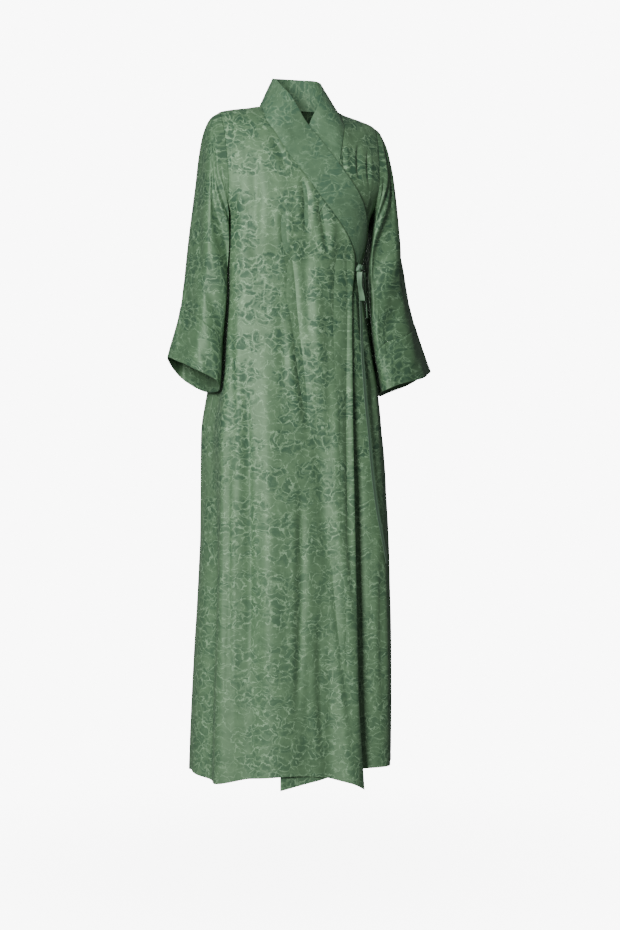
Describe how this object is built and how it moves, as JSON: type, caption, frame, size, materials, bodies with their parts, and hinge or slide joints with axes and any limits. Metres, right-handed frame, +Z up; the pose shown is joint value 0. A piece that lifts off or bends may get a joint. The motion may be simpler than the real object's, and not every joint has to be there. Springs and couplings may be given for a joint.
{
  "type": "abaya",
  "caption": "Full-length wrap abaya of satin jacquard with a stand-up shawl collar, wide cuffed sleeves and a narrow side tie, in its worn shape.",
  "frame": {"origin": "midway between the two points where the collar meets the shoulder seams, where the wearer's shoulders hold the robe", "axes": "+Z up; the robe faces -Y; the wearer's left hand is at +X"},
  "size_m": [0.6047, 0.3484, 1.4989],
  "materials": {
    "panel_cloth": "sage green satin jacquard with darker leaf clusters and fine pale veins",
    "collar_cloth": "the same jacquard, interfaced and pressed, a little more matt",
    "sleeve_cloth": "the same jacquard, in the sleeves and their turned cuffs",
    "tie_cloth": "the same cloth cut narrow, with its smooth satin face out"
  },
  "bodies": {
    "root": {"back": "panel_cloth", "front_right": "panel_cloth", "front_left": "panel_cloth", "collar_right": "collar_cloth", "collar_left": "collar_cloth", "sleeve_right": "sleeve_cloth", "sleeve_left": "sleeve_cloth", "cuff_right": "sleeve_cloth", "cuff_left": "sleeve_cloth", "tie_knot": "tie_cloth", "tie_bow": "tie_cloth", "tie_tail_long": "tie_cloth", "tie_tail_short": "tie_cloth", "tie_side_run": "tie_cloth"}
  },
  "joints": []
}
